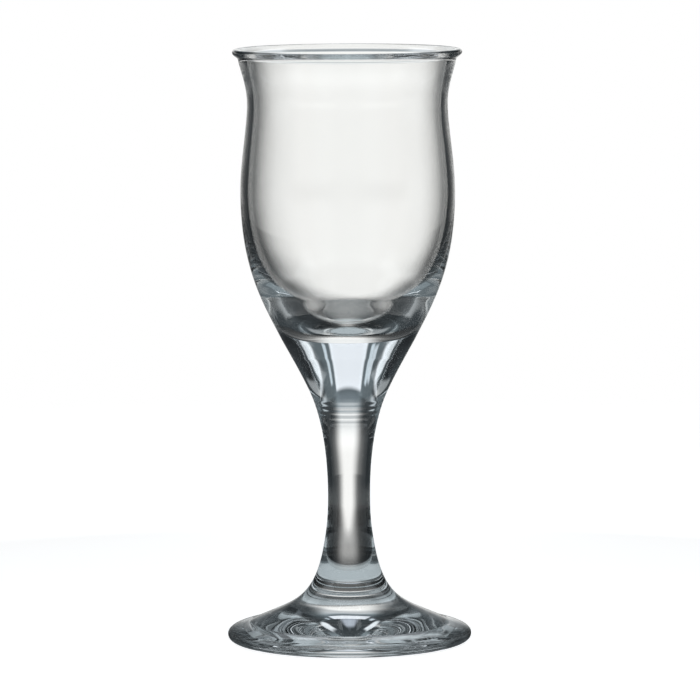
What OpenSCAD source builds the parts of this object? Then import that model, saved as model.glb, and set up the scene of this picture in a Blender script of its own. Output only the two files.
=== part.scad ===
// Sherry glass: a blown bowl on a solid drawn stem and a pressed foot.
// The four pieces are fused face to face. Z is up, and the origin is on the table under the stem.

/* [Foot] */
// Diameter of the foot at its widest
foot_d = 60; // [50:0.5:75]
// Height of the foot, from the table to its seam with the stem
foot_h = 24; // [20:0.5:30]
// Height of the widest circle of the foot above the table
edge_rise = 2; // [1.5:0.1:3]
// Width of the rounded edge that lies outside the ring that the glass stands on
edge_w = 3.7; // [2.5:0.1:6]
// Width of the flat ring that the glass stands on
seat_w = 1; // [0.8:0.1:3]
// Height of the hollow under the middle of the foot
kick_h = 2.2; // [0.5:0.1:2.5]
// Distance from the widest circle in to where the round edge meets the sloping top
shoulder_w = 5.5; // [4:0.1:7]
// Height of that place above the table
shoulder_rise = 4.9; // [4:0.1:6.5]

/* [Stem] */
// Height of the stem, from the foot's seam to the head's seam
stem_h = 37.3; // [30:0.1:46]
// Diameter of the stem at its seam with the foot
foot_seam_d = 12.5; // [10:0.1:15.5]
// Diameter of the waist, the thinnest place of the stem
waist_d = 10.4; // [8.5:0.1:12.5]
// Height of the waist above the foot's seam
waist_rise = 12.1; // [10:0.1:15]
// Diameter of the stem at its seam with the head
head_seam_d = 18.6; // [15.5:0.1:22.5]

/* [Stem head] */
// Height of the solid head between the stem and the bowl
head_h = 13.9; // [11.5:0.1:17]
// Diameter of the head at its seam with the bowl
bowl_seam_d = 33.2; // [27.5:0.1:40]

/* [Bowl] */
// Height of the bowl, from the head's seam to the top of the lip
bowl_h = 70.8; // [58:0.1:85]
// Diameter of the belly, the widest place of the wall
belly_d = 52.6; // [45:0.1:62]
// Height of the belly above the head's seam
belly_rise = 35.9; // [30:0.1:43]
// Diameter of the neck below the lip
neck_d = 49.1; // [42:0.1:58]
// Drop of the neck below the top of the lip
neck_drop = 13.4; // [10.5:0.1:15.5]
// Diameter where the wall turns out into the lip
flare_d = 53.3; // [46:0.1:62]
// Drop of that place below the top of the lip
flare_drop = 2.7; // [2.3:0.1:3.2]
// Diameter of the lip at its widest
lip_d = 56.2; // [50:0.1:66]
// Thickness of the lip's rounded edge
lip_t = 1.6; // [1.3:0.1:1.9]
// Wall thickness at the flare
flare_wall = 2.1; // [1.6:0.1:2.6]
// Wall thickness at the neck
neck_wall = 1.6; // [1.2:0.05:2.2]
// Wall thickness at the belly
belly_wall = 1.8; // [1.4:0.05:2.6]
// Glass between the head's seam and the lowest point of the bowl's hollow
floor_t = 2.6; // [1.5:0.1:4]
// Diameter of the flat in the middle of the hollow's bottom
flat_d = 12; // [8:0.5:16]
// Diameter of the hollow where its curved bottom turns up into the wall
hollow_d = 35.2; // [28.5:0.1:38]
// Height of that place above the head's seam
hollow_rise = 11.3; // [9.5:0.1:13.5]

/* [Hidden] */
$fn = 96;

// Facets in each smooth stretch of an outline
steps = 12;

// How far out the wall leans for each millimetre up, at each seam and at the flare
foot_seam_lean = -0.174;
head_seam_lean = 0.435;
bowl_seam_lean = 0.512;
flare_lean = 0.186;
// The same for the sloping top of the foot, at the shoulder
shoulder_lean = -2.13;
// The same for the bowl's hollow, where its bottom turns up into the wall
hollow_lean = 0.85;
// Where the round of the lip starts and ends, as angles from level
lip_start = -45;
lip_end = 115;

// How long a smooth stretch keeps its first and its last direction, as shares of its height
foot_top_shares = [0.6, 0.75];
edge_shares = [0.7, 0.4];
seat_shares = [0.29, 0.95];
stem_low_shares = [0.21, 0.52];
stem_high_shares = [0.24, 0.36];
head_shares = [0.38, 0.18];
belly_shares = [0.28, 0.51];
neck_shares = [0.34, 0.26];
flare_shares = [0.44, 0.27];
lip_shares = [0.35, 0.6];
mouth_shares = [0.5, 0.3];
hollow_high_shares = [0.32, 0.35];
// How long the two ends of each hollow's curve keep their first and last direction:
// the first number is a share of its radius, and the second a share of its height
hollow_low_shares = [0.28, 0.5];
kick_shares = [0.85, 0.05];

// Heights of the seams and of the top of the lip
head_seam_z = foot_h + stem_h;
bowl_seam_z = head_seam_z + head_h;
glass_h = bowl_seam_z + bowl_h;

// Heights of the places between the seams
waist_z = foot_h + waist_rise;
belly_z = bowl_seam_z + belly_rise;
neck_z = glass_h - neck_drop;
flare_z = glass_h - flare_drop;
lip_r = lip_t / 2;

clear_glass = [0.80, 0.88, 0.88, 0.35];

// A run of the given length that leans out by so much for each millimetre up
function run(lean, length) = length * [lean, 1] / norm([lean, 1]);

// A smooth stretch from a to b: leave is how it sets out from a, and arrive is how it comes in to b
function smooth(a, leave, arrive, b) =
    [for (i = [0:steps - 1])
        let (t = i / steps, u = 1 - t)
        u * u * u * a + 3 * u * u * t * (a + leave) + 3 * u * t * t * (b - arrive) + t * t * t * b];

// A smooth stretch that climbs from a to b, leaning by so much at either end
function wall(a, lean_a, lean_b, b, shares) =
    smooth(a, run(lean_a, shares[0] * (b[1] - a[1])), run(lean_b, shares[1] * (b[1] - a[1])), b);

// A curve that leaves a level place and climbs out to an edge, like half of a dome turned over
function dome(middle, edge, lean, shares) =
    smooth(middle, [shares[0] * edge[0], 0], run(lean, shares[1] * (edge[1] - middle[1])), edge);

// The same points in the other order
function back(points) = [for (i = [len(points) - 1:-1:0]) points[i]];

// Points of the outer surface
foot_seam_out = [foot_seam_d / 2, foot_h];
waist_out = [waist_d / 2, waist_z];
head_seam_out = [head_seam_d / 2, head_seam_z];
bowl_seam_out = [bowl_seam_d / 2, bowl_seam_z];
belly_out = [belly_d / 2, belly_z];
neck_out = [neck_d / 2, neck_z];
flare_out = [flare_d / 2, flare_z];
lip_middle = [lip_d / 2 - lip_r, glass_h - lip_r];
widest = [foot_d / 2, edge_rise];
shoulder = [foot_d / 2 - shoulder_w, shoulder_rise];
seat_out = [foot_d / 2 - edge_w, 0];
seat_in = [foot_d / 2 - edge_w - seat_w, 0];

// Points of the bowl's inner surface
belly_in = belly_out - [belly_wall, 0];
neck_in = neck_out - [neck_wall, 0];
flare_in = flare_out - [flare_wall, 0];
hollow_in = [hollow_d / 2, bowl_seam_z + hollow_rise];
floor_in = [flat_d / 2, bowl_seam_z + floor_t];

// The lip's round, seen in section, from under its edge over to its inner side
function lip_point(angle) = lip_middle + lip_r * [cos(angle), sin(angle)];
lip_round = [for (i = [0:steps]) lip_point(lip_start + (lip_end - lip_start) * i / steps)];
lip_reach = norm(lip_point(lip_start) - flare_out);
mouth_reach = norm(lip_point(lip_end) - flare_in);

// Blown vessel with a thick floor and a rounded lip that turns out
module bowl() {
    color(clear_glass)
    rotate_extrude()
    polygon(concat(
        [[0, bowl_seam_z]],
        wall(bowl_seam_out, bowl_seam_lean, 0, belly_out, belly_shares),
        wall(belly_out, 0, 0, neck_out, neck_shares),
        wall(neck_out, 0, flare_lean, flare_out, flare_shares),
        smooth(flare_out,
            run(flare_lean, lip_shares[0] * lip_reach),
            lip_shares[1] * lip_reach * [-sin(lip_start), cos(lip_start)],
            lip_point(lip_start)),
        lip_round,
        back(smooth(flare_in,
            run(flare_lean, mouth_shares[0] * mouth_reach),
            mouth_shares[1] * mouth_reach * [sin(lip_end), -cos(lip_end)],
            lip_point(lip_end))),
        back(wall(neck_in, 0, flare_lean, flare_in, flare_shares)),
        back(wall(belly_in, 0, 0, neck_in, neck_shares)),
        back(wall(hollow_in, hollow_lean, 0, belly_in, hollow_high_shares)),
        back(dome(floor_in, hollow_in, hollow_lean, hollow_low_shares)),
        [[0, floor_in[1]]]));
}

// Solid tapering head between the stem and the bowl
module stem_head() {
    color(clear_glass)
    rotate_extrude()
    polygon(concat(
        [[0, bowl_seam_z], [0, head_seam_z]],
        wall(head_seam_out, head_seam_lean, bowl_seam_lean, bowl_seam_out, head_shares),
        [bowl_seam_out]));
}

// Drawn stem, solid and waisted
module stem() {
    color(clear_glass)
    rotate_extrude()
    polygon(concat(
        [[0, head_seam_z], [0, foot_h]],
        wall(foot_seam_out, foot_seam_lean, 0, waist_out, stem_low_shares),
        wall(waist_out, 0, head_seam_lean, head_seam_out, stem_high_shares),
        [head_seam_out]));
}

// Pressed foot with a flared neck, hollowed a little under its middle
module foot() {
    color(clear_glass)
    rotate_extrude()
    polygon(concat(
        [[0, foot_h]],
        dome([0, kick_h], seat_in, 0, kick_shares),
        [seat_in],
        smooth(seat_out, [seat_shares[0] * edge_w, 0], [0, seat_shares[1] * edge_rise], widest),
        smooth(widest,
            [0, edge_shares[0] * (shoulder_rise - edge_rise)],
            run(shoulder_lean, edge_shares[1] * (shoulder_rise - edge_rise)),
            shoulder),
        smooth(shoulder,
            run(shoulder_lean, foot_top_shares[0] * (foot_h - shoulder_rise)),
            run(foot_seam_lean, foot_top_shares[1] * (foot_h - shoulder_rise)),
            foot_seam_out),
        [foot_seam_out]));
}

bowl();
stem_head();
stem();
foot();
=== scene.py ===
# %% [markdown]
# # A sherry glass
# The object is a small clear glass on a solid stem. A glassblower blows the bowl, draws the stem out of a
# solid head of glass under it, and presses the foot. All four are fused while hot, so on the table it looks
# like one body of clear glass. What there is to see is light that has been bent: the white behind the glass
# through the thin wall, and the dark sides of the studio in the thick glass and along every edge. So the
# looks depend on three things only: true surfaces, the glass itself, and what stands around it.

# %% The frame
import bpy
import numpy as np
from mathutils import Matrix, Vector


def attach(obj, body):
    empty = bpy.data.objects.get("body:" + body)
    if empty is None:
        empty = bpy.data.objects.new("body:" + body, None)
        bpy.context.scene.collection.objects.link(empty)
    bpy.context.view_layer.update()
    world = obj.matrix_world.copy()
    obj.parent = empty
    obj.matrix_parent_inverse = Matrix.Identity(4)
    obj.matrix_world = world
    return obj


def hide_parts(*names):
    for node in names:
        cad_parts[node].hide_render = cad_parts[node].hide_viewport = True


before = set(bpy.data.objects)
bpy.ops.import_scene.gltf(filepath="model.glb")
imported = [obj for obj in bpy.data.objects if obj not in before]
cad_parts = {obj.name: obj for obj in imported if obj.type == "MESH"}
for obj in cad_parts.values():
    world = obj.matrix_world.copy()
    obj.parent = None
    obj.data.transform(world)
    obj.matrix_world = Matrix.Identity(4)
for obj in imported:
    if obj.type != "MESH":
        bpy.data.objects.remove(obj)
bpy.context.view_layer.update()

# %% [markdown]
# ## The outlines
# Every surface of the glass is turned: a line in the plane of radius and height, spun round the upright
# axis. Such a line could be traced by hand as a Blender curve. Here it is worked out instead from the same
# measured places as the CAD part, so the sizes agree, but with many more points, because glass shows every
# facet as a crease in what lies behind it. Near the top of the stem the glass has fine rings, which are added
# to its line as a small wave.

# %% Smooth stretches
MM = 0.001     # outlines are worked out in millimetres, and Blender's unit is the metre


def run(lean, length):
    """A step of the given length that leans out by so much for each millimetre up."""
    way = np.array([lean, 1.0])
    return length * way / np.hypot(*way)


def smooth(a, leave, arrive, b, count=36):
    """Points of the cubic (1-t)^3 a + 3(1-t)^2 t (a+leave) + 3(1-t) t^2 (b-arrive) + t^3 b, for t from 0 to 1,
    each with the curve's direction there, 3(1-t)^2 leave + 6(1-t) t (b-arrive-a-leave) + 3t^2 arrive."""
    a, leave, arrive, b = (np.asarray(v, float) for v in (a, leave, arrive, b))
    t = np.linspace(0, 1, count + 1)[:, None]
    u = 1 - t
    place = u**3 * a + 3 * u * u * t * (a + leave) + 3 * u * t * t * (b - arrive) + t**3 * b
    way = 3 * u * u * leave + 6 * u * t * (b - arrive - a - leave) + 3 * t * t * arrive
    return np.hstack([place, way])


def wall(a, lean_a, lean_b, b, shares, count=36):
    """A smooth climb from a to b. Each end keeps its lean over its share of the climb's height."""
    high = b[1] - a[1]
    return smooth(a, run(lean_a, shares[0] * high), run(lean_b, shares[1] * high), b, count)


def dome(middle, edge, lean, shares, count=36):
    """From a level place, level at first, out and up to an edge, like half of a dome turned over."""
    return smooth(middle, [shares[0] * edge[0], 0], run(lean, shares[1] * (edge[1] - middle[1])), edge, count)


def axis_at(height):
    """The place on the axis at a height."""
    return np.array([0.0, height])


def straight(a, b):
    """The two ends of a flat face, with its direction."""
    way = np.subtract(b, a)
    return np.array([[*a, *way], [*b, *way]], float)


def back(line):
    """The same line walked the other way, so each direction turns round."""
    return line[::-1] * [1, 1, -1, -1]


def chain(*stretches):
    """Stretches that follow one another, as one line with each shared point kept once."""
    return np.vstack([stretches[0]] + [s[1:] for s in stretches[1:]])


def rings(line, low, high, wave, size):
    """The line with fine rings added to its radius between two heights, size w(z) cos(2 pi z / wave) with
    w = sin^2(pi (z - low) / (high - low)), and its direction leaned by the same function's slope."""
    z = line[:, 1]
    part = np.pi * (np.clip(z, low, high) - low) / (high - low)
    turn = 2 * np.pi * z / wave
    lean = size * (np.sin(2 * part) * np.pi / (high - low) * np.cos(turn)
                   - np.sin(part)**2 * 2 * np.pi / wave * np.sin(turn)) * ((z > low) & (z < high))
    bent = line.copy()
    bent[:, 0] += size * np.sin(part)**2 * np.cos(turn)
    bent[:, 2] += lean * line[:, 3]
    return bent


# %% [markdown]
# ## The measured places
# Radii and heights in millimetres, from the table up: the foot, the stem with its waist, the head, the bowl
# with its belly, neck and turned-out lip, and then the bowl's hollow, with a flat in the middle of its bottom.
# The inside can only be guessed from the light that it bends, so its sizes are the ones that came closest.

# %% Places on the outside, each as radius and height
foot_seam, waist, head_seam = np.array([6.25, 24.0]), np.array([5.2, 36.1]), np.array([9.3, 61.3])
bowl_seam, belly, neck = np.array([16.6, 75.2]), np.array([26.3, 111.1]), np.array([24.55, 132.6])
flare, lip_r, lip_top = np.array([26.65, 143.3]), 0.8, 146.0
lip_middle = np.array([28.1 - lip_r, lip_top - lip_r])
widest, shoulder = np.array([30.0, 2.0]), np.array([24.5, 4.9])
seat_out, seat_in, kick = np.array([26.3, 0.0]), np.array([25.3, 0.0]), np.array([0.0, 2.2])
foot_lean, head_lean, bowl_lean, flare_lean, shoulder_lean = -0.174, 0.435, 0.512, 0.186, -2.13

# %% Places on the inside
belly_in, neck_in, flare_in = belly - [1.8, 0], neck - [1.6, 0], flare - [2.1, 0]
floor_in, hollow_in, hollow_lean = np.array([6.0, 77.8]), np.array([17.6, 86.5]), 0.85


# %% The lip
def lip_round(start, end, count=28):
    """The lip's round in section: its middle plus its radius along each angle, with the direction square
    to that."""
    a = np.radians(np.linspace(start, end, count + 1))
    spoke = np.stack([np.cos(a), np.sin(a)], -1)
    return np.hstack([lip_middle + lip_r * spoke, np.stack([-spoke[:, 1], spoke[:, 0]], -1)])


lip = lip_round(-45, 115)
under_lip, over_lip = lip[0], lip[-1]
under = np.hypot(*(under_lip[:2] - flare))
mouth = np.hypot(*(over_lip[:2] - flare_in))
print("lip: widest", round(2 * lip[:, 0].max(), 2), "mm, top at", round(lip[:, 1].max(), 2), "mm")

# %% The outlines of the foot and the stem
edge_wide, edge_high = widest[0] - seat_out[0], shoulder[1] - widest[1]
top_high = foot_seam[1] - shoulder[1]
RINGS_START, RING_WAVE, RING_SIZE = 53.5, 1.35, 0.022

foot_under = dome(kick, seat_in, 0, (0.85, 0.05))
foot_outside = chain(
    smooth(seat_out, [0.29 * edge_wide, 0], [0, 0.95 * widest[1]], widest),
    smooth(widest, [0, 0.7 * edge_high], run(shoulder_lean, 0.4 * edge_high), shoulder),
    smooth(shoulder, run(shoulder_lean, 0.6 * top_high), run(foot_lean, 0.75 * top_high), foot_seam, 60))
upper_stem = wall(waist, 0, head_lean, head_seam, (0.24, 0.36), 220)
stem_outside = chain(
    wall(foot_seam, foot_lean, 0, waist, (0.21, 0.52)),
    rings(upper_stem, RINGS_START, head_seam[1], RING_WAVE, RING_SIZE))
print("foot outline:", len(foot_outside), "points; stem outline:", len(stem_outside), "points")

# %% The outlines of the head and the bowl
head_outside = wall(head_seam, head_lean, bowl_lean, bowl_seam, (0.38, 0.18), 60)
bowl_outside = chain(
    wall(bowl_seam, bowl_lean, 0, belly, (0.28, 0.51), 60),
    wall(belly, 0, 0, neck, (0.34, 0.26)),
    wall(neck, 0, flare_lean, flare, (0.44, 0.27), 24),
    smooth(flare, run(flare_lean, 0.35 * under), 0.6 * under * under_lip[2:], under_lip[:2], 8),
    lip,
    back(smooth(flare_in, run(flare_lean, 0.5 * mouth), -0.3 * mouth * over_lip[2:], over_lip[:2], 8)),
    back(wall(neck_in, 0, flare_lean, flare_in, (0.44, 0.27), 24)),
    back(wall(belly_in, 0, 0, neck_in, (0.34, 0.26))),
    back(wall(hollow_in, hollow_lean, 0, belly_in, (0.32, 0.35))),
    back(dome(floor_in, hollow_in, hollow_lean, (0.28, 0.5), 48)),
    straight(floor_in, axis_at(floor_in[1])))
print("bowl outline:", len(bowl_outside), "points")

# %% [markdown]
# ## Spinning an outline into a piece
# Blender has a Spin tool and a Screw modifier for this. A grid worked out with numpy does the same and also
# gives the exact direction of the surface at every corner, which matters more here than anywhere: a ray
# that enters and leaves the glass is bent twice, and any unevenness of the shading shows as a ring.
# The flat faces where two pieces are fused are part of each piece, so that it is closed, but they get a
# second material that lets light through unbent, because on the real glass nothing is left of the joint.

# %% A turned piece
ROUND = 256          # columns around the axis
GLASS, FUSED = 0, 1  # the piece's two material slots


def turned(name, *runs):
    """The surface x = r cos v, y = r sin v, z = z, for each point (r, z) of the outline and each angle v.
    The runs follow one another round the section, with the glass on the left hand, so the outward
    direction at each point is its own direction turned a right angle to the right. Each run is
    (line, slot): GLASS for a surface, or FUSED for a face where it is fused to the next piece."""
    line = chain(*(r for r, _ in runs))
    ring = len(line) - 1 if np.allclose(line[0, :2], line[-1, :2]) else len(line)
    row = np.concatenate([np.arange(len(r) - 1) for r, _ in runs])
    ways = [np.stack([r[:, 3], -r[:, 2]], -1) for r, _ in runs]
    ways = [w / np.linalg.norm(w, axis=1, keepdims=True) for w in ways]
    lower = np.vstack([w[:-1] for w in ways])
    upper = np.vstack([w[1:] for w in ways])
    slot = np.repeat([s for _, s in runs], [len(r) - 1 for r, _ in runs])
    on_axis = line[:ring, 0] < 1e-9
    width = np.where(on_axis, 1, ROUND)
    first = np.concatenate([[0], np.cumsum(width)])
    v = np.arange(ROUND) * 2 * np.pi / ROUND
    pick = np.repeat(np.arange(ring), width)
    turn = np.concatenate([v[:w] for w in width])
    place = np.stack([line[pick, 0] * np.cos(turn), line[pick, 0] * np.sin(turn), line[pick, 1]], -1)
    here, there = np.arange(ROUND), (np.arange(ROUND) + 1) % ROUND
    low = np.arange(len(row))
    high = (low + 1) % ring
    def ids(rows, columns):
        return first[rows][:, None] + np.where(on_axis[rows][:, None], 0, columns)
    face = np.stack([ids(low, here), ids(low, there), ids(high, there), ids(high, here)], -1).reshape(-1, 4)
    def outward(way, columns):
        return np.stack([way[:, :1] * np.cos(v[columns]), way[:, :1] * np.sin(v[columns]),
                         np.repeat(way[:, 1:], ROUND, 1)], -1)
    bow = np.stack([outward(lower, here), outward(lower, there),
                    outward(upper, there), outward(upper, here)], 2).reshape(-1, 4, 3)
    keep = face != np.roll(face, -1, axis=1)
    mesh = bpy.data.meshes.new(name)
    mesh.vertices.add(len(place))
    mesh.vertices.foreach_set("co", (place * MM).ravel())
    mesh.loops.add(int(keep.sum()))
    mesh.loops.foreach_set("vertex_index", face[keep])
    mesh.polygons.add(len(face))
    mesh.polygons.foreach_set("loop_start", np.concatenate([[0], np.cumsum(keep.sum(1))[:-1]]))
    mesh.polygons.foreach_set("material_index", np.repeat(slot, ROUND))
    mesh.update(calc_edges=True)
    mesh.polygons.foreach_set("use_smooth", np.ones(len(face), bool))
    mesh.normals_split_custom_set(bow[keep])
    made = bpy.data.objects.new(name, mesh)
    bpy.context.scene.collection.objects.link(made)
    print(name, "has", len(face), "faces and", len(place), "vertices")
    return made


# %% [markdown]
# ## The four pieces
# The bowl is blown, so it has one skin outside and one inside, joined by the fire-polished lip. The head is
# the solid lump that joins it to the stem. The stem is drawn and solid too, and the foot is pressed, with a
# shallow hollow under its middle so that it stands on a ring.

# %% The bowl
bowl = turned("bowl_glass", (straight(axis_at(bowl_seam[1]), bowl_seam), FUSED), (bowl_outside, GLASS))

# %% The head of the stem
stem_head = turned("stem_head_glass", (straight(axis_at(head_seam[1]), head_seam), FUSED),
                   (head_outside, GLASS), (straight(bowl_seam, axis_at(bowl_seam[1])), FUSED))

# %% The stem
stem = turned("stem_glass", (straight(axis_at(foot_seam[1]), foot_seam), FUSED), (stem_outside, GLASS),
              (straight(head_seam, axis_at(head_seam[1])), FUSED))

# %% The foot
foot = turned("foot_glass", (foot_under, GLASS), (straight(seat_in, seat_out), GLASS),
              (foot_outside, GLASS), (straight(foot_seam, axis_at(foot_seam[1])), FUSED))

# %% What the pieces ride on and stand for
for piece in (bowl, stem_head, stem, foot):
    node = piece.name.removesuffix("_glass")
    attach(piece, "root")
    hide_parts(node)

# %% [markdown]
# ## The glass
# Clear glass is a Principled BSDF with full transmission, no roughness and the index of soda-lime glass.
# A Glass BSDF would do the same, but the Principled one keeps its values in a glTF file as well.
# The fused faces get a Transparent BSDF, which passes light straight on. Blown and pressed glass is never
# quite even, so a noise texture bends its surface a little through a Bump node, and more on the underside
# of the foot, as a mould would leave it. The swirls that show through the foot come from there.

# %% Waviness
wavy = bpy.data.node_groups.new("waviness", "ShaderNodeTree")
wavy.interface.new_socket("Height", in_out="OUTPUT", socket_type="NodeSocketFloat")
place = wavy.nodes.new("ShaderNodeTexCoord").outputs["Object"]
apart = wavy.nodes.new("ShaderNodeSeparateXYZ")
wavy.links.new(place, apart.inputs[0])
under_side = wavy.nodes.new("ShaderNodeMapRange")     # one on the foot's underside, nothing above it
for number, value in ((1, 0.0035), (2, 0.0025), (3, 0.0), (4, 1.0)):
    under_side.inputs[number].default_value = value
wavy.links.new(apart.outputs["Z"], under_side.inputs[0])
size = wavy.nodes.new("ShaderNodeMath")
size.operation = "MULTIPLY_ADD"
size.inputs[1].default_value, size.inputs[2].default_value = 0.9, 0.1
wavy.links.new(under_side.outputs[0], size.inputs[0])
swell = wavy.nodes.new("ShaderNodeTexNoise")
for key, value in (("Scale", 75.0), ("Detail", 1.0), ("Roughness", 0.4)):
    swell.inputs[key].default_value = value
wavy.links.new(place, swell.inputs["Vector"])
times = wavy.nodes.new("ShaderNodeMath")
times.operation = "MULTIPLY"
wavy.links.new(swell.outputs[0], times.inputs[0])
wavy.links.new(size.outputs[0], times.inputs[1])
wavy.links.new(times.outputs[0], wavy.nodes.new("NodeGroupOutput").inputs[0])

# %% Clear glass and fused faces
clear = bpy.data.materials.new("clear_glass")
clear.use_nodes = True
shader = clear.node_tree.nodes["Principled BSDF"]
shader.inputs["Base Color"].default_value = (0.995, 0.995, 0.99, 1)
shader.inputs["Roughness"].default_value = 0.0
shader.inputs["IOR"].default_value = 1.51
shader.inputs["Transmission Weight"].default_value = 1.0
swells = clear.node_tree.nodes.new("ShaderNodeGroup")
swells.node_tree = wavy
bump = clear.node_tree.nodes.new("ShaderNodeBump")
bump.inputs["Distance"].default_value = 0.0004
clear.node_tree.links.new(swells.outputs["Height"], bump.inputs["Height"])
clear.node_tree.links.new(bump.outputs["Normal"], shader.inputs["Normal"])

fused = bpy.data.materials.new("fused_face")
fused.use_nodes = True
fused.node_tree.nodes.clear()
through = fused.node_tree.nodes.new("ShaderNodeBsdfTransparent")
end = fused.node_tree.nodes.new("ShaderNodeOutputMaterial")
fused.node_tree.links.new(through.outputs["BSDF"], end.inputs["Surface"])
for piece in (bowl, stem_head, stem, foot):
    piece.data.materials.append(clear)
    piece.data.materials.append(fused)

# %% Light paths
# In the thick glass and in the lip a ray is mirrored many times before it gets out, and it would end up
# black if it were given up on the way, so rays are followed further than Blender does by default.
paths = bpy.context.scene.cycles
paths.max_bounces = paths.transmission_bounces = paths.glossy_bounces = 48
paths.transparent_max_bounces = 64

# %% [markdown]
# ## The studio
# Glass has no look of its own: it shows what stands around it. Clear glass on white is photographed with a
# soft white backdrop behind it and dark cards on either side. The thin wall then shows white, and wherever
# the glass bends the light far enough to the side, it shows grey and black. Lamps could be moved about until
# the picture looks right. Here the way was turned round: for many places on the glass, the direction in which
# the bent ray leaves it was worked out, and what lies there got the brightness that the photo shows. Far
# things are panels of the world, placed by their direction. Near things are a round screen of dark cards,
# open behind the glass, and the table under it. They fit this one view and are not a known room. The camera
# sees neither screen nor panels, only white, and the glass shows the panels and not that white.

# %% Camera
camera = bpy.data.objects.new("camera", bpy.data.cameras.new("camera"))
bpy.context.scene.collection.objects.link(camera)
bpy.context.scene.camera = camera
SENSOR, FOCAL, PICTURE = 36, 5324, 700     # the sensor in mm, then the focal length and the picture in pixels
SHIFT_ASIDE = 1.6                          # pixels by which the glass stands left of the picture's middle
PITCH, YAW, ROLL = np.radians(5.97), np.arctan(SHIFT_ASIDE / FOCAL), np.radians(0.25)
camera.data.sensor_width = SENSOR
camera.data.lens = SENSOR * FOCAL / PICTURE
camera.location = (0, -1.3, 0.208)
ahead = Vector((np.sin(YAW) * np.cos(PITCH), np.cos(YAW) * np.cos(PITCH), -np.sin(PITCH)))
camera.rotation_mode = "QUATERNION"
camera.rotation_quaternion = ahead.to_track_quat("-Z", "Y") @ Matrix.Rotation(-ROLL, 4, "Z").to_quaternion()
print("lens:", round(camera.data.lens, 1), "mm")

# %% Nodes by name
def grow(material):
    """Three helpers that add nodes to this material's or world's tree."""
    tree = material.node_tree
    tree.nodes.clear()

    def node(kind, **values):
        """A new node, with its attributes by name and its inputs as in_ and their number."""
        made = tree.nodes.new(kind)
        for key, value in values.items():
            if not key.startswith("in_"):
                setattr(made, key, value)
            elif hasattr(value, "is_output"):
                tree.links.new(value, made.inputs[int(key[3:])])
            else:
                made.inputs[int(key[3:])].default_value = value
        return made

    def calc(operation, a, b=0.0):
        """One step of arithmetic on two outputs or numbers."""
        return node("ShaderNodeMath", operation=operation, in_0=a, in_1=b).outputs[0]

    def fade(x, edge, soft):
        """One below edge - soft, nothing above edge + soft, and smooth between: 1 - (3 t^2 - 2 t^3)."""
        return node("ShaderNodeMapRange", interpolation_type="SMOOTHSTEP", in_0=x, in_1=edge - soft,
                    in_2=edge + soft, in_3=1.0, in_4=0.0).outputs[0]

    return node, calc, fade


# %% World
world = bpy.data.worlds.new("studio")
bpy.context.scene.world = world
world.use_nodes = True
node, calc, fade = grow(world)
parts = node("ShaderNodeSeparateXYZ", in_0=node("ShaderNodeTexCoord").outputs["Generated"]).outputs
azimuth = calc("MULTIPLY", calc("ARCTAN2", parts["X"], parts["Y"]), 180 / np.pi)
height = calc("MULTIPLY", calc("ARCSINE", parts["Z"]), 180 / np.pi)
side = calc("ABSOLUTE", azimuth)              # degrees away from straight behind the glass


def between(x, low, high, soft):
    """One between low and high, with soft ends."""
    return calc("MULTIPLY", calc("SUBTRACT", 1.0, fade(x, low, soft)), fade(x, high, soft))


def beyond(x, edge, soft):
    """One beyond the edge, with a soft start."""
    return calc("SUBTRACT", 1.0, fade(x, edge, soft))


def both(a, b):
    """Where both masks are one."""
    return calc("MULTIPLY", a, b)


# %% The panels: a name, a colour, and where it lies in degrees aside and up
panels = [
    ("backdrop", (0.95, 0.945, 0.925), both(fade(side, 34, 8), between(height, -60, 6, 5))),
    ("backdrop, top", (0.52, 0.54, 0.55), both(fade(side, 16, 8), between(height, 4, 18, 5))),
    ("above the backdrop", (0.13, 0.16, 0.18), both(fade(side, 14, 5), between(height, 15, 27, 4))),
    ("between the lights", (0.08, 0.10, 0.11), both(between(side, 11, 31, 3), between(height, 17, 38, 3))),
    ("window", (0.84, 0.89, 0.95), both(fade(side, 13, 1), between(height, 27.5, 38, 1.2))),
    ("window, top", (0.40, 0.45, 0.52), both(fade(side, 7, 3), between(height, 38, 54, 5))),
    ("gap beside the window", (0.52, 0.60, 0.66),
     both(between(side, 16.2, 18.8, 0.7), between(height, 31, 37, 1))),
    ("ring light", (0.92, 0.99, 1.05), both(between(side, 32, 118, 3), between(height, 36.5, 54, 3.5))),
    ("ring light, low end", (0.46, 0.52, 0.56), both(between(side, 98, 122, 6), between(height, 29, 34, 3))),
    ("low lamp", (0.50, 0.56, 0.60), both(between(side, 31, 47, 4), between(height, 23, 30, 3))),
    ("upper room", (0.09, 0.11, 0.12), both(beyond(side, 84, 8), beyond(height, 30, 8))),
    ("table", (0.38, 0.45, 0.48), fade(height, -60, 8)),
    ("table, outer part", (0.22, 0.26, 0.28), both(beyond(side, 48, 6), between(height, -60, -40, 7))),
    ("side walls", (0.28, 0.30, 0.31), both(between(side, 78, 112, 6), between(height, -40, 4, 5))),
    ("other walls", (0.64, 0.66, 0.66), both(between(side, 112, 163, 9), between(height, -45, -5, 4))),
    ("wall in front", (0.50, 0.52, 0.52), both(beyond(side, 163, 9), between(height, -45, -5, 9))),
    ("strip light", (0.56, 0.63, 0.69), both(between(azimuth, -22.5, -18.8, 0.8), between(height, 33, 40, 1.5))),
    ("front of the room", (0.10, 0.12, 0.13), both(beyond(side, 140, 10), between(height, -48, 50, 8))),
]
total = node("ShaderNodeRGB").outputs[0]
total.default_value = (0.035, 0.043, 0.048, 1)     # the dark of the room between the panels
for name, colour, mask in panels:
    added = node("ShaderNodeMixRGB", blend_type="ADD", label=name, in_0=mask, in_1=total, in_2=(*colour, 1))
    total = added.outputs[0]
print("studio:", len(panels), "panels")

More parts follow.
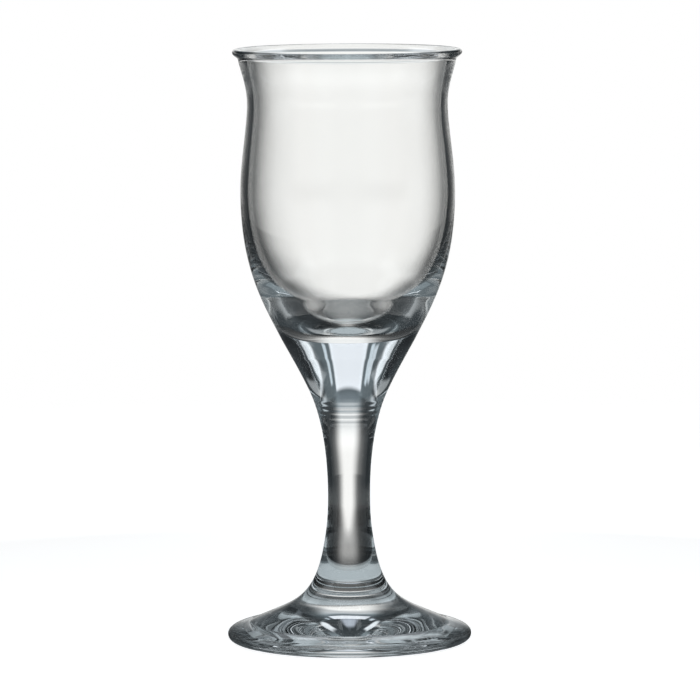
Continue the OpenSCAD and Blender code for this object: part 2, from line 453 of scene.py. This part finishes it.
# %% The world: white for the camera, the panels for every other ray
shown = node("ShaderNodeBackground", in_0=total)
white = node("ShaderNodeBackground", in_0=(1, 1, 1, 1), in_1=1.0)
seen = node("ShaderNodeLightPath").outputs["Is Camera Ray"]
mix = node("ShaderNodeMixShader", in_0=seen, in_1=shown.outputs[0], in_2=white.outputs[0])
node("ShaderNodeOutputWorld", in_0=mix.outputs[0])
bpy.context.scene.view_settings.view_transform = "Standard"

# %% A sleeve
def sleeve(name, radius, low, high):
    """An open cylinder, x = R sin v, y = R cos v, from one height to the other."""
    v = np.arange(ROUND) * 2 * np.pi / ROUND
    ring = np.stack([radius * np.sin(v), radius * np.cos(v)], -1)
    place = np.vstack([np.c_[ring, np.full(ROUND, low)], np.c_[ring, np.full(ROUND, high)]])
    here, there = np.arange(ROUND), (np.arange(ROUND) + 1) % ROUND
    mesh = bpy.data.meshes.new(name)
    mesh.from_pydata(place.tolist(), [], np.stack([here, there, there + ROUND, here + ROUND], -1).tolist())
    made = bpy.data.objects.new(name, mesh)
    bpy.context.scene.collection.objects.link(made)
    return made


# %% The dark cards
MIDDLE = 1.7     # degrees by which the opening's middle is turned away from straight behind the glass
cards = sleeve("cards", 0.204, -0.25, 0.16)
card = bpy.data.materials.new("dark_card")
card.use_nodes = True
node, calc, fade = grow(card)
spot = node("ShaderNodeSeparateXYZ", in_0=node("ShaderNodeTexCoord").outputs["Object"]).outputs
turn = calc("MULTIPLY", calc("ARCTAN2", spot["X"], spot["Y"]), 180 / np.pi)
away = calc("ABSOLUTE", calc("SUBTRACT", turn, MIDDLE))     # degrees away from the middle of the opening
wider = calc("MULTIPLY", calc("SUBTRACT", 1.0, fade(spot["Z"], 0.045, 0.02)), 2.5)     # none low down
off = calc("SUBTRACT", away, wider)

# %% How much light passes: all of it beside the cards, above them and in the middle of the opening
opening = calc("ADD", calc("MULTIPLY", fade(off, 12.5, 8.5), 0.78), calc("MULTIPLY", fade(off, 20, 13), 0.19))
beside = calc("SUBTRACT", 1.0, fade(away, 62, 8))
above = calc("SUBTRACT", 1.0, fade(spot["Z"], 0.148, 0.01))
free = calc("MAXIMUM", above, beside)
clear_part = calc("MAXIMUM", calc("MAXIMUM", calc("ADD", opening, 0.03), free),
                  node("ShaderNodeLightPath").outputs["Is Camera Ray"])
tint = node("ShaderNodeMixRGB", in_0=clear_part, in_1=(0, 0, 0, 1), in_2=(1, 1, 1, 1))
through = node("ShaderNodeBsdfTransparent", in_0=tint.outputs[0])

# %% The little light that the cards would give back, painted on them as a faint emission, and a trace more near their upper ends
upper = calc("MULTIPLY", calc("SUBTRACT", 1.0, fade(away, 19, 4)),
             calc("SUBTRACT", 1.0, fade(spot["Z"], 0.108, 0.016)))
painted_card_light = calc("MULTIPLY", calc("ADD", calc("MULTIPLY", upper, 0.01), 0.02), calc("SUBTRACT", 1.0, clear_part))
glow = node("ShaderNodeEmission", in_0=(0.9, 1.05, 1.15, 1), in_1=painted_card_light)
whole = node("ShaderNodeAddShader", in_0=through.outputs[0], in_1=glow.outputs[0])
node("ShaderNodeOutputMaterial", in_0=whole.outputs[0])
cards.data.materials.append(card)
print("cards:", [round(float(d), 3) for d in cards.dimensions], "m")

# %% A disc
def disc(name, radius, level):
    """A flat round face, x = R cos v, y = R sin v."""
    v = np.arange(ROUND) * 2 * np.pi / ROUND
    place = np.stack([radius * np.cos(v), radius * np.sin(v), np.full(ROUND, level)], -1)
    mesh = bpy.data.meshes.new(name)
    mesh.from_pydata(place.tolist(), [], [list(range(ROUND))])
    made = bpy.data.objects.new(name, mesh)
    bpy.context.scene.collection.objects.link(made)
    return made


# %% The floor
floor = disc("floor", 0.6, -0.0003)
pale = bpy.data.materials.new("pale_floor")
pale.use_nodes = True
node, calc, fade = grow(pale)
place = node("ShaderNodeTexCoord").outputs["Object"]
spot = node("ShaderNodeSeparateXYZ", in_0=place).outputs
reach = node("ShaderNodeVectorMath", operation="LENGTH", in_0=place).outputs["Value"]
turn = calc("MULTIPLY", calc("ARCTAN2", spot["X"], spot["Y"]), 180 / np.pi)
away = calc("ABSOLUTE", calc("SUBTRACT", turn, MIDDLE))

# %% What bent rays meet: a table with a painted shadow round the glass and painted light under its foot, brighter further out, in a path behind the glass and round its front
# Close round the glass the table is dark, a painted shadow of the glass; further out it is lighter.
near_part = calc("MULTIPLY", calc("SUBTRACT", 1.0, fade(reach, 0.042, 0.018)), 0.33)
far_part = calc("MULTIPLY", calc("SUBTRACT", 1.0, fade(reach, 0.092, 0.025)), 0.61)
narrow = node("ShaderNodeMapRange", in_0=reach, in_1=0.1, in_2=0.21, in_3=0.0, in_4=9.0).outputs[0]
wide = calc("MAXIMUM", fade(calc("SUBTRACT", away, narrow), 5.0, 8.5),
            calc("SUBTRACT", 1.0, fade(away, 75, 12)))
bright_part = calc("ADD", calc("ADD", near_part, 0.06), calc("MULTIPLY", far_part, wide))
tint = node("ShaderNodeMixRGB", in_0=bright_part, in_1=(0, 0, 0, 1), in_2=(1, 1, 1, 1))
onward = node("ShaderNodeBsdfTransparent", in_0=tint.outputs[0])
# Under the foot the table shines faintly with its own emission: painted light that stands in for the light
# coming down through the glass.
below = node("ShaderNodeEmission", in_0=(0.40, 0.46, 0.49, 1), in_1=fade(reach, 0.027, 0.006))
table_painted_shade_and_light = node("ShaderNodeAddShader", in_0=onward.outputs[0], in_1=below.outputs[0])

# %% What the camera sees: white cloth that keeps the glass's shadow and has no edge
cloth = node("ShaderNodeBsdfDiffuse", in_0=(0.7, 0.7, 0.7, 1))
plain = node("ShaderNodeEmission", in_0=(1, 1, 1, 1), in_1=0.885)
bright = node("ShaderNodeAddShader", in_0=cloth.outputs[0], in_1=plain.outputs[0])
open_air = node("ShaderNodeBsdfTransparent")
edge = node("ShaderNodeMixShader", in_0=fade(reach, 0.4, 0.15), in_1=open_air.outputs[0], in_2=bright.outputs[0])
seen = node("ShaderNodeLightPath").outputs["Is Camera Ray"]
either = node("ShaderNodeMixShader", in_0=seen, in_1=table_painted_shade_and_light.outputs[0], in_2=edge.outputs[0])
node("ShaderNodeOutputMaterial", in_0=either.outputs[0])
floor.data.materials.append(pale)
print("floor:", [round(float(d), 3) for d in floor.dimensions], "m")
